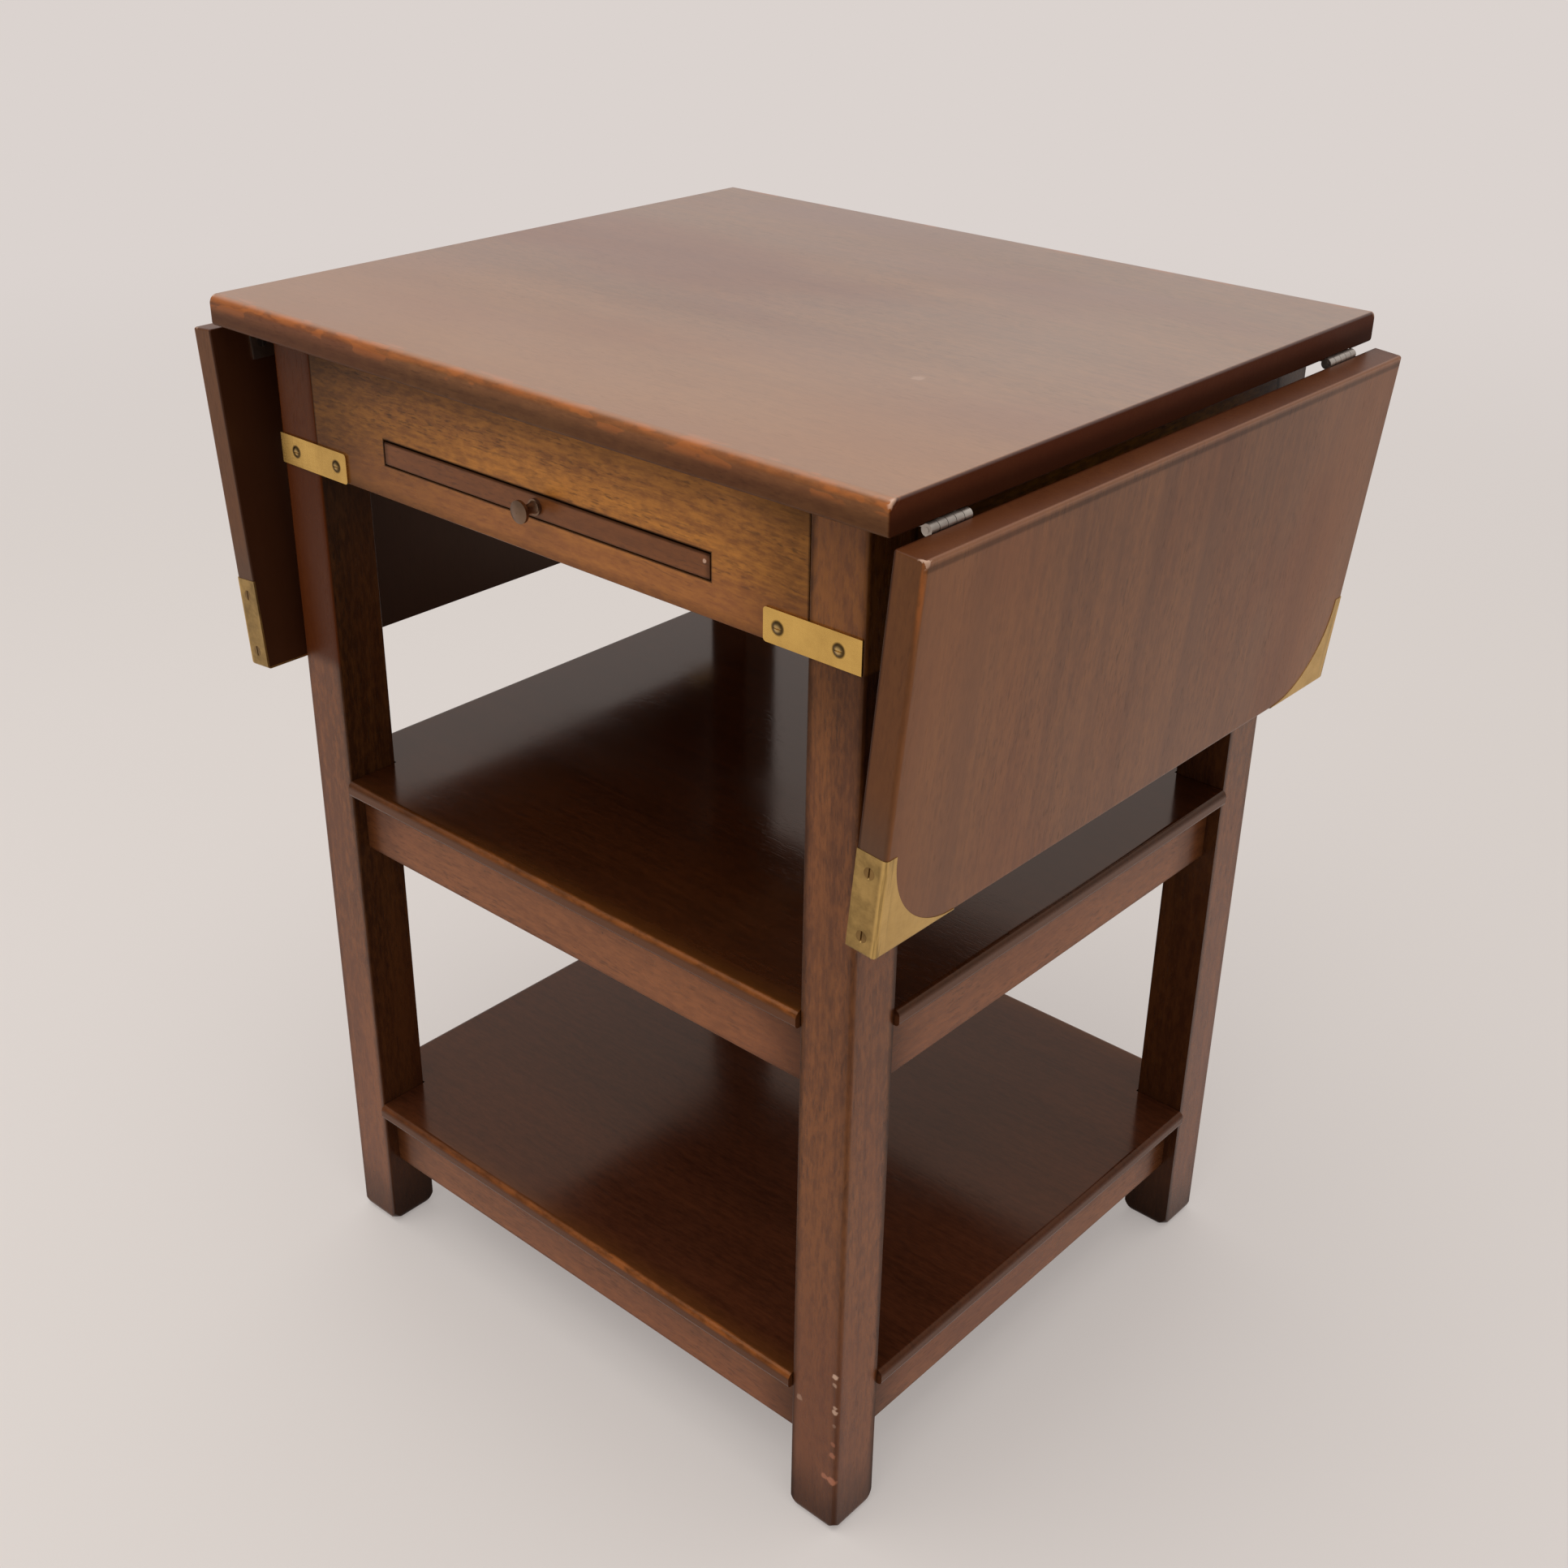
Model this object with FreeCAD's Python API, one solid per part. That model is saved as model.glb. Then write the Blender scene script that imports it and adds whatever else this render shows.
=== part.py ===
import FreeCAD, Part
import math
import os

from FreeCAD import Rotation, Vector

# Drop leaf side table with two shelves and a pull-out slide, in millimetres.
# The origin is on the floor below the middle of the top: +X to the right, -Y to the front, +Z up.
# The leaves hang on the left and right; the slide pulls out of the front.

# Top
table_height = 635.0
top_width = 482.0
top_depth = 428.0
top_thickness = 17.0
top_edge_round = 5.0
top_lower_round = 2.0
top_joint_arris = 1.0
side_overhang = 26.0
end_overhang = 20.0

# Legs
leg_size = 33.5
leg_outer_arris = 2.5
leg_arris = 1.0
foot_round = 5.5
foot_corner_round = 11.0

# Aprons under the top
apron_height = 77.0
apron_thickness = 18.0

# Rails under the shelves
rail_height = 40.5
rail_thickness = 16.0
rail_setback = 8.5
rail_arris = 1.0

# Stub tenons of aprons and rails
tenon_thickness = 8.0
tenon_shoulder = 6.0
tenon_web = 1.5
tenon_clearance = 0.1

# Shelves
middle_shelf_height = 346.0
lower_shelf_height = 102.0
shelf_thickness = 10.0
shelf_overhang = 3.0
shelf_notch_gap = 0.6
shelf_upper_round = 4.0
shelf_lower_round = 2.5

# Leaves, hinged below the side edges of the top
leaf_drop = 202.0
leaf_thickness = 17.0
leaf_lean = 5.3
leaf_least_turn = -2.0
leaf_gap = 1.4
leaf_edge_round = 2.5
leaf_joint_round = 1.2
leaf_inner_arris = 0.8

# Butt hinges: the pin lies just under the top, in the joint
hinge_drop = 2.3
hinge_length = 29.0
hinge_end_distance = 24.5
hinge_flap_width = 22.0
hinge_sheet = 1.5
hinge_knuckle_radius = 2.9
hinge_pin_radius = 1.3
hinge_knuckles = 5
hinge_knuckle_gap = 0.3
hinge_running_clearance = 0.05
hinge_relief = 0.5
hinge_screw_margin = 7.0

# Wood screws
screw_head_radius = 3.1
screw_head_depth = 1.8
screw_shank_radius = 1.5
screw_slot_width = 0.9
screw_slot_depth = 0.7
strap_screw_dome = 0.9
screw_clearance = 0.05
sheet_screw_length = 9.0
strap_screw_length = 14.0
block_screw_grip = 9.0

# Brass straps across the apron joints
strap_length = 59.0
strap_width = 17.5
strap_sheet = 1.2
strap_end_inset = 1.0
strap_corner_round = 2.0
strap_inner_screw = 9.0
strap_outer_screw = 13.5

# Brass corner brackets on the leaves, let into the wood
bracket_tall = 55.0
bracket_long = 61.0
bracket_arc_radius = 53.0
bracket_sheet = 1.2
bracket_proud = 0.3
bracket_edge_round = 2.2
bracket_screw_margin = 10.0
bracket_bottom_screw_margin = 12.0

# Pull-out slide
slide_leg_distance = 61.25
slide_thickness = 13.0
slide_back_gap = 10.0
slide_drop = 51.0
slide_gap_above = 1.2
slide_gap_below = 0.3
slide_gap_side = 0.8
slide_kept_inside = 130.0
slide_front_arris = 1.0
runner_width = 22.0
runner_height = 30.0
runner_groove = 8.0
stop_pin_radius = 3.0
stop_pin_height = 7.0
stop_pin_depth = 8.0
stop_pin_inset = 25.0
stop_gap = 0.5
knob_radius = 6.0
knob_base_radius = 4.4
knob_base_thickness = 1.6
knob_neck_radius = 2.6
knob_head_thickness = 4.0
knob_length = 13.0
knob_dome = 1.2
knob_edge_round = 1.0
knob_spigot_radius = 2.6
knob_spigot_length = 14.0
knob_clearance = 0.05

# Stays: slotted arms pivoted on the leaf, running through the side apron over a pin
stay_radius = 60.0
stay_place = 110.0
stay_pivot_offset = 8.0
stay_sheet = 2.0
stay_arm_width = 10.0
stay_arm_end = 5.0
stay_pin_radius = 2.0
stay_slot_clearance = 0.3
stay_slot_spare = 1.0
stay_seat_depth = 1.0
stay_pivot_radius = 2.0
stay_pivot_clearance = 0.05
stay_side_gap = 0.3
stay_head_radius = 3.6
stay_head_thickness = 1.2
stay_plate_length = 26.0
stay_plate_width = 20.0
stay_mortise_gap = 2.5
stay_mortise_spare = 1.5
stay_pin_bearing = 8.0

# Glue blocks that hold the top
block_size = 16.0
block_length = 50.0
block_place_front = 110.0
block_place_side = 40.0

# Places worked out from the sizes above
tiny = 0.001
underside = table_height - top_thickness
half_x = top_width / 2 - side_overhang
half_y = top_depth / 2 - end_overhang
leg_in_x = half_x - leg_size
leg_in_y = half_y - leg_size
apron_bottom = underside - apron_height
apron_in_x = half_x - apron_thickness
apron_in_y = half_y - apron_thickness
pin_x = top_width / 2 + leaf_gap / 2
pin_z = underside - hinge_drop
leaf_hang_turn = 90.0 + leaf_lean
leaf_top_face = hinge_drop + leaf_thickness
leaf_end = leaf_gap / 2 + leaf_drop
hinge_place = top_depth / 2 - hinge_end_distance - hinge_length / 2
hinge_places = {"front": -hinge_place, "back": hinge_place}
slide_width = 2 * (leg_in_x - slide_leg_distance)
slide_depth = half_y + apron_in_y - slide_back_gap
slide_travel = slide_depth - slide_kept_inside
slide_bottom = underside - slide_drop - slide_thickness / 2
slide_top = slide_bottom + slide_thickness
leg_corners = {"front_left": (-1, -1), "front_right": (1, -1), "back_left": (-1, 1), "back_right": (1, 1)}
ends = {"front": -1, "back": 1}
opposite_end = {"front": "back", "back": "front"}
parts = {}


def box(x0, x1, y0, y1, z0, z1):
    """Block between two corners, given in either order."""
    low = Vector(min(x0, x1), min(y0, y1), min(z0, z1))
    return Part.makeBox(abs(x1 - x0), abs(y1 - y0), abs(z1 - z0), low)


def rod(radius, y0, y1, x=0.0, z=0.0):
    """Round bar along Y."""
    return Part.makeCylinder(radius, y1 - y0, Vector(x, y0, z), Vector(0, 1, 0))


def rounded(shape, radius, test):
    """Round the edges whose bounds pass the test."""
    edges = [edge for edge in shape.Edges if test(edge.BoundBox)]
    return shape.makeFillet(radius, edges)


def half_turn(shape):
    """The same piece on the opposite side of the table."""
    turned = shape.copy()
    turned.rotate(Vector(0, 0, 0), Vector(0, 0, 1), 180)
    return turned


def quarter_turn(shape):
    """A piece made for the front, turned to the right side."""
    turned = shape.copy()
    turned.rotate(Vector(0, 0, 0), Vector(0, 0, 1), 90)
    return turned


def aimed(shape, point, direction):
    """Put a shape made along +Z at a point, with its +Z end facing the direction."""
    placed = shape.copy()
    turn = Rotation(Vector(0, 0, 1), direction)
    placed.Placement = FreeCAD.Placement(point, turn)
    return placed


def add(name, solids):
    """Keep one solid, or a group of separate solids, under a piece's name."""
    group = solids if isinstance(solids, list) else [solids]
    parts[name] = group[0] if len(group) == 1 else Part.makeCompound(group)


def screw_dome(height):
    """Raised crown of a screw head, standing on z = 0."""
    sphere_radius = (screw_head_radius ** 2 + height ** 2) / (2 * height)
    sphere = Part.makeSphere(sphere_radius, Vector(0, 0, height - sphere_radius))
    return sphere.common(Part.makeCylinder(screw_head_radius, height + tiny))


def screw(length, dome):
    """Countersunk wood screw with a slotted head, head rim at z = 0, pointing down."""
    down = Vector(0, 0, -1)
    head = Part.makeCone(screw_head_radius, screw_shank_radius, screw_head_depth, Vector(0, 0, 0), down)
    shank = Part.makeCylinder(screw_shank_radius, length, Vector(0, 0, 0), down)
    slot = box(-screw_head_radius, screw_head_radius, -screw_slot_width / 2, screw_slot_width / 2,
               dome - screw_slot_depth, dome + screw_slot_depth)
    body = head.fuse(shank)
    if dome > 0:
        body = body.fuse(screw_dome(dome))
    return body.cut(slot)


def screw_hole(length):
    """Space for a screw, with its clearance."""
    down = Vector(0, 0, -1)
    head_radius = screw_head_radius + screw_clearance
    shank_radius = screw_shank_radius + screw_clearance
    head = Part.makeCone(head_radius, shank_radius, screw_head_depth, Vector(0, 0, 0), down)
    shank = Part.makeCylinder(shank_radius, length + screw_clearance, Vector(0, 0, 0), down)
    return head.fuse(shank)


def screws_and_holes(places, length, dome=0.0):
    """Screws, and the holes for them, at a list of (point, outward direction)."""
    screws = [aimed(screw(length, dome), point, direction) for point, direction in places]
    holes = [aimed(screw_hole(length), point, direction) for point, direction in places]
    return screws, holes


def tenon_bar(length, bottom, height, face, thickness, grow):
    """Bar along X that holds both stub tenons of a front rail; grown, it cuts their mortises."""
    setback = half_y - face
    reach = leg_size - setback - (thickness + tenon_thickness) / 2 - tenon_web
    middle = -face + thickness / 2
    half_length = length / 2 + reach + grow
    half_thick = tenon_thickness / 2 + grow
    return box(-half_length, half_length, middle - half_thick, middle + half_thick,
               bottom + tenon_shoulder - grow, bottom + height - tenon_shoulder + grow)


def tenoned_rail(length, bottom, height, face, thickness):
    """Front rail along X between two legs, outer face at y = -face, with its stub tenons."""
    body = box(-length / 2, length / 2, -face, -face + thickness, bottom, bottom + height)
    body = rounded(body, rail_arris, lambda b: b.XLength > length / 2 and b.ZMax < bottom + tiny)
    return body.fuse(tenon_bar(length, bottom, height, face, thickness, 0.0)).removeSplitter()


def rail_levels():
    """Bottom, height, face distance and thickness of the apron and the two rails, by name."""
    face = half_y - rail_setback
    middle_bottom = middle_shelf_height - shelf_thickness - rail_height
    lower_bottom = lower_shelf_height - shelf_thickness - rail_height
    return {
        "apron": (apron_bottom, apron_height, half_y, apron_thickness),
        "middle_rail": (middle_bottom, rail_height, face, rail_thickness),
        "lower_rail": (lower_bottom, rail_height, face, rail_thickness),
    }


def side_tenon_bar(bottom, height, face, thickness, grow):
    """Tenon bar of a right side rail."""
    bar = tenon_bar(2 * leg_in_y, bottom, height, face, thickness, grow)
    bar.translate(Vector(0, half_y - half_x, 0))
    return quarter_turn(bar)


def side_rail(bottom, height, face, thickness):
    """Rail of the right side, made like a front rail and turned."""
    rail = tenoned_rail(2 * leg_in_y, bottom, height, face, thickness)
    rail.translate(Vector(0, half_y - half_x, 0))
    return quarter_turn(rail)


def mortises():
    """Spaces in the legs for every tenon."""
    spaces = []
    for bottom, height, face, thickness in rail_levels().values():
        front = tenon_bar(2 * leg_in_x, bottom, height, face, thickness, tenon_clearance)
        right = side_tenon_bar(bottom, height, face, thickness, tenon_clearance)
        spaces += [front, half_turn(front), right, half_turn(right)]
    return spaces


def leg(side_x, side_y):
    """Square leg with a rounder outer arris and a rounded foot, worn roundest at its corners."""
    blank = box(side_x * leg_in_x, side_x * half_x, side_y * leg_in_y, side_y * half_y, 0, underside)
    blank = rounded(blank, foot_round, lambda b: b.ZMax < tiny)

    def upright(b):
        return b.ZLength > underside / 2

    def outer(b):
        return upright(b) and abs(b.Center.x) > half_x - tiny and abs(b.Center.y) > half_y - tiny

    blank = rounded(blank, leg_outer_arris, outer)
    inner_limit = half_x - leg_outer_arris / 2
    blank = rounded(blank, leg_arris, lambda b: upright(b) and abs(b.Center.x) < inner_limit
                    and b.XLength < tiny and b.YLength < tiny)
    foot_middle = Vector(side_x * (half_x - leg_size / 2), side_y * (half_y - leg_size / 2), 0)
    worn = Part.makeCylinder(leg_size / math.sqrt(2), underside, foot_middle)
    worn = rounded(worn, foot_corner_round, lambda b: b.ZMax < tiny)
    return blank.common(worn)


def table_top():
    """Top board: rounded front and back edges, nearly square hinged edges."""
    board = box(-top_width / 2, top_width / 2, -top_depth / 2, top_depth / 2, underside, table_height)

    def front_or_back(b, height):
        return b.XLength > top_width / 2 and abs(b.Center.z - height) < tiny

    def hinged_side(b):
        return b.YLength > top_depth / 2 and b.ZMin > table_height - tiny and b.XLength < tiny

    board = rounded(board, top_edge_round, lambda b: front_or_back(b, table_height))
    board = rounded(board, top_lower_round, lambda b: front_or_back(b, underside))
    return rounded(board, top_joint_arris, hinged_side)


def shelf(height):
    """Shelf board with its corners notched round the legs and its edges rounded."""
    out_x = half_x + shelf_overhang
    out_y = half_y + shelf_overhang
    in_x = leg_in_x - shelf_notch_gap
    in_y = leg_in_y - shelf_notch_gap
    bottom = height - shelf_thickness
    board = box(-out_x, out_x, -out_y, out_y, bottom, height)
    for side_x, side_y in leg_corners.values():
        board = board.cut(box(side_x * in_x, side_x * out_x, side_y * in_y, side_y * out_y, bottom, height))

    def outer_edge(b, level):
        on_edge = abs(b.Center.x) > out_x - tiny or abs(b.Center.y) > out_y - tiny
        return on_edge and b.ZLength < tiny and abs(b.Center.z - level) < tiny

    board = rounded(board, shelf_upper_round, lambda b: outer_edge(b, height))
    return rounded(board, shelf_lower_round, lambda b: outer_edge(b, bottom))


def hang(shape):
    """Put a shape made round the hinge pin, with the leaf level, where the right leaf hangs."""
    hung = shape.copy()
    hung.rotate(Vector(0, 0, 0), Vector(0, 1, 0), leaf_hang_turn)
    hung.translate(Vector(pin_x, 0, pin_z))
    return hung


def at_pin(shape):
    """Put a shape made round the hinge pin at the right side of the top."""
    moved = shape.copy()
    moved.translate(Vector(pin_x, 0, pin_z))
    return moved


def knuckle_span(index):
    """Ends of one knuckle along the hinge."""
    pitch = hinge_length / hinge_knuckles
    start = -hinge_length / 2 + index * pitch
    return start + hinge_knuckle_gap / 2, start + pitch - hinge_knuckle_gap / 2


def hinge_plate(first_knuckle, place):
    """Hinge plate on the leaf's side of the pin, with every second knuckle."""
    clear = hinge_knuckle_radius + hinge_relief
    low = hinge_drop - hinge_sheet
    flap = box(clear, hinge_flap_width, -hinge_length / 2, hinge_length / 2, low, hinge_drop)
    for index in range(first_knuckle, hinge_knuckles, 2):
        y0, y1 = knuckle_span(index)
        neck = box(0, clear, y0, y1, low, hinge_drop)
        flap = flap.fuse([neck, rod(hinge_knuckle_radius, y0, y1)])
    bore = rod(hinge_pin_radius + hinge_running_clearance, -hinge_length, hinge_length)
    plate = flap.removeSplitter().cut(bore)
    plate.translate(Vector(0, place, 0))
    return plate


def hinge_relief_space(place):
    """Space cut from the edges of top and leaf round the knuckles."""
    reach = hinge_length / 2 + hinge_relief
    return rod(hinge_knuckle_radius + hinge_relief, place - reach, place + reach)


def hinge_screw_places(place, side):
    """Screw heads on one plate, on the leaf's side (1) or the top's side (-1) of the pin."""
    down = Vector(0, 0, -1)
    across = side * (hinge_flap_width + hinge_knuckle_radius + hinge_relief) / 2
    spread = hinge_length / 2 - hinge_screw_margin
    level = hinge_drop - hinge_sheet
    return [(Vector(across, place + step, level), down) for step in (-spread, 0.0, spread)]


def leaf_blank():
    """Leaf board, level, without its hardware."""
    board = box(leaf_gap / 2, leaf_end, -top_depth / 2, top_depth / 2, hinge_drop, leaf_top_face)

    def on_face(b, level):
        return b.ZLength < tiny and abs(b.Center.z - level) < tiny

    def joint_edge(b):
        return b.Center.x < leaf_gap

    def lower_corner(b):
        return b.Center.x > leaf_end - tiny and b.ZLength > leaf_thickness / 2

    board = rounded(board, leaf_edge_round, lambda b: lower_corner(b) or on_face(b, leaf_top_face)
                    and not joint_edge(b))
    board = rounded(board, leaf_joint_round, lambda b: on_face(b, leaf_top_face) and joint_edge(b)
                    and b.YLength > leaf_drop)
    return rounded(board, leaf_inner_arris, lambda b: on_face(b, hinge_drop) and not joint_edge(b))


def corner_bracket(end):
    """Brass bracket round one outer corner of the leaf: face plate, end flange and bottom flange."""
    corner_x = leaf_end + bracket_proud
    corner_y = end * (top_depth / 2 + bracket_proud)
    face = leaf_top_face + bracket_proud
    back_x = corner_x - bracket_tall
    back_y = corner_y - end * bracket_long
    tip_y = back_y + end * bracket_arc_radius
    tip_x = back_x + bracket_arc_radius
    diagonal = bracket_arc_radius / math.sqrt(2)
    middle = Vector(back_x + diagonal, back_y + end * diagonal, face)
    outline = [
        Part.Arc(Vector(back_x, tip_y, face), middle, Vector(tip_x, back_y, face)).toShape(),
        Part.makeLine((tip_x, back_y, face), (corner_x, back_y, face)),
        Part.makeLine((corner_x, back_y, face), (corner_x, corner_y, face)),
        Part.makeLine((corner_x, corner_y, face), (back_x, corner_y, face)),
        Part.makeLine((back_x, corner_y, face), (back_x, tip_y, face)),
    ]
    plate = Part.Face(Part.Wire(outline)).extrude(Vector(0, 0, -bracket_sheet))
    end_flange = box(back_x, corner_x, corner_y, corner_y - end * bracket_sheet, hinge_drop, face)
    bottom_flange = box(corner_x, corner_x - bracket_sheet, corner_y, back_y, hinge_drop, face)
    bracket = plate.fuse([end_flange, bottom_flange]).removeSplitter()

    def folded(b):
        along_end = b.XLength > bracket_tall / 2 and abs(b.Center.y - corner_y) < tiny
        along_bottom = b.YLength > bracket_long / 2 and abs(b.Center.x - corner_x) < tiny
        on_face = abs(b.Center.z - face) < tiny and b.ZLength < tiny
        return on_face and (along_end or along_bottom)

    def lower_corner(b):
        on_corner = abs(b.Center.x - corner_x) < tiny and abs(b.Center.y - corner_y) < tiny
        return on_corner and b.ZLength > leaf_thickness / 2

    return rounded(bracket, bracket_edge_round, lambda b: folded(b) or lower_corner(b))


def bracket_screw_places(end):
    """Two screws in the end flange and two in the bottom flange of a corner bracket."""
    corner_x = leaf_end + bracket_proud
    corner_y = end * (top_depth / 2 + bracket_proud)
    level = hinge_drop + leaf_thickness / 2
    first = corner_x - bracket_tall + bracket_screw_margin
    second = corner_x - bracket_screw_margin
    places = [(Vector(x, corner_y, level), Vector(0, end, 0)) for x in (first, second)]
    for inset in (2 * bracket_bottom_screw_margin, bracket_long - bracket_bottom_screw_margin):
        places.append((Vector(corner_x, corner_y - end * inset, level), Vector(1, 0, 0)))
    return places


def turned_about_pin(x, z, degrees):
    """Turn a point round the hinge pin's axis, downwards from the raised place."""
    angle = math.radians(degrees)
    return Vector(x * math.cos(angle) + z * math.sin(angle), 0, z * math.cos(angle) - x * math.sin(angle))


# The leaf pivot and the apron pin are equally far from the hinge pin,
# so the arm turns at exactly half the leaf's rate while it slides over the apron pin.
stay_pivot_z = hinge_drop - stay_pivot_offset
stay_pivot_x = math.sqrt(stay_radius ** 2 - stay_pivot_z ** 2)
stay_pin_x = half_x - apron_thickness / 2 - pin_x
stay_pin_z = -math.sqrt(stay_radius ** 2 - stay_pin_x ** 2)
stay_pivot_hung = turned_about_pin(stay_pivot_x, stay_pivot_z, leaf_hang_turn)
stay_pivot_lowest = turned_about_pin(stay_pivot_x, stay_pivot_z, leaf_hang_turn - leaf_least_turn)
stay_pin = Vector(stay_pin_x, 0, stay_pin_z)
stay_hung = stay_pin - stay_pivot_hung
stay_raised = stay_pin - Vector(stay_pivot_x, 0, stay_pivot_z)
stay_nearest = (stay_pin - stay_pivot_lowest).Length - stay_slot_spare
stay_farthest = stay_raised.Length + stay_slot_spare
stay_tilt = max(math.atan(abs(arm.z / arm.x)) for arm in (stay_hung, stay_raised))
stay_pin_length = stay_sheet + 2 * stay_mortise_gap + 2 * stay_pin_bearing


def bar_with_round_ends(x0, x1, radius, half_width):
    """Flat bar along X with round ends, as thick in Y as twice the half width."""
    middle = box(x0, x1, -half_width, half_width, -radius, radius)
    return middle.fuse([rod(radius, -half_width, half_width, x0), rod(radius, -half_width, half_width, x1)])


def stay_arm(place):
    """Slotted arm of a stay as it lies with the leaf hung."""
    half = stay_sheet / 2
    slot_radius = stay_pin_radius + stay_slot_clearance
    body = bar_with_round_ends(0, stay_farthest + stay_arm_end, stay_arm_width / 2, half).removeSplitter()
    slot = bar_with_round_ends(stay_nearest, stay_farthest, slot_radius, stay_sheet)
    seat = rod(slot_radius, -stay_sheet, stay_sheet, stay_farthest, -stay_seat_depth)
    eye = rod(stay_pivot_radius + stay_pivot_clearance, -stay_sheet, stay_sheet)
    arm = body.cut([slot.fuse(seat), eye])
    tilt = math.degrees(math.atan2(stay_hung.z, stay_hung.x))
    arm.rotate(Vector(0, 0, 0), Vector(0, 1, 0), -tilt)
    arm.translate(stay_pivot_hung + Vector(pin_x, place, pin_z))
    return arm


def stay_plate_side(place):
    """Which way along Y a stay's plate lies from its arm: towards the middle of the leaf."""
    return -1 if place > 0 else 1


def stay_bracket(place):
    """Bracket of a stay under the level leaf: screwed plate, ear and riveted pivot."""
    side = stay_plate_side(place)
    half = stay_sheet / 2
    ear_y = place + side * (half + stay_side_gap)
    ear_back = ear_y + side * stay_sheet
    lower_face = hinge_drop - stay_sheet
    plate = box(stay_pivot_x - stay_plate_length / 2, stay_pivot_x + stay_plate_length / 2,
                ear_y, ear_y + side * stay_plate_width, lower_face, hinge_drop)
    ear = box(stay_pivot_x - stay_arm_width / 2, stay_pivot_x + stay_arm_width / 2,
              ear_y, ear_back, stay_pivot_z, hinge_drop)
    low, high = sorted((ear_y, ear_back))
    nose = rod(stay_arm_width / 2, low, high, stay_pivot_x, stay_pivot_z)
    head_y = place - side * (half + stay_side_gap)
    head_end = head_y - side * stay_head_thickness
    low, high = sorted((ear_y, head_y))
    pivot = rod(stay_pivot_radius, low, high, stay_pivot_x, stay_pivot_z)
    low, high = sorted((head_y, head_end))
    head = rod(stay_head_radius, low, high, stay_pivot_x, stay_pivot_z)
    return plate.fuse([ear, nose, pivot, head]).removeSplitter()


def stay_screw_places(place):
    """Two screws in the plate of a stay's bracket, in the middle of what its ear leaves free."""
    side = stay_plate_side(place)
    y = place + side * (stay_sheet / 2 + stay_side_gap + (stay_sheet + stay_plate_width) / 2)
    spread = stay_plate_length / 4
    level = hinge_drop - stay_sheet
    return [(Vector(stay_pivot_x + step, y, level), Vector(0, 0, -1)) for step in (-spread, spread)]


def stay_cuts(place):
    """Mortise for a stay's arm in the right side apron, and the groove that holds its pin."""
    x = pin_x + stay_pin.x
    z = pin_z + stay_pin.z
    half_high = math.tan(stay_tilt) * apron_thickness / 2 + stay_arm_width / 2 / math.cos(stay_tilt)
    half_high += stay_mortise_spare
    half_wide = stay_sheet / 2 + stay_mortise_gap
    mortise = box(apron_in_x, half_x, place - half_wide, place + half_wide, z - half_high, z + half_high)
    fit = stay_pin_radius + stay_pivot_clearance
    y0 = place - stay_pin_length / 2 - stay_pivot_clearance
    y1 = place + stay_pin_length / 2 + stay_pivot_clearance
    groove = box(apron_in_x, x, y0, y1, z - fit, z + fit)
    return [mortise, groove, rod(fit, y0, y1, x, z)]


def stay_apron_pin(place):
    """Pin across the mortise that the slot of a stay's arm runs over."""
    x = pin_x + stay_pin.x
    z = pin_z + stay_pin.z
    return rod(stay_pin_radius, place - stay_pin_length / 2, place + stay_pin_length / 2, x, z)


def corner_strap(side_x, side_y):
    """Brass strap across the joint of a front or back apron and a leg."""
    out_x = half_x - strap_end_inset
    in_x = out_x - strap_length
    strap = box(side_x * in_x, side_x * out_x, side_y * half_y, side_y * (half_y + strap_sheet),
                apron_bottom, apron_bottom + strap_width)
    return rounded(strap, strap_corner_round, lambda b: b.YLength > strap_sheet / 2
                   and abs(b.Center.x) < in_x + tiny and b.XLength < tiny)


def strap_screw_places(side_x, side_y):
    """One screw into the apron and one into the leg."""
    out_x = half_x - strap_end_inset
    z = apron_bottom + strap_width / 2
    y = side_y * (half_y + strap_sheet)
    places = (out_x - strap_outer_screw, out_x - strap_length + strap_inner_screw)
    return [(Vector(side_x * x, y, z), Vector(0, side_y, 0)) for x in places]


def slide_space(depth_start, depth_end):
    """Space that the slide passes through, with its gaps all round."""
    half_wide = slide_width / 2 + slide_gap_side
    return box(-half_wide, half_wide, depth_start, depth_end,
               slide_bottom - slide_gap_below, slide_top + slide_gap_above)


def knob_place():
    """Middle of the slide's front edge."""
    return Vector(0, -half_y, (slide_bottom + slide_top) / 2)


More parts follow.
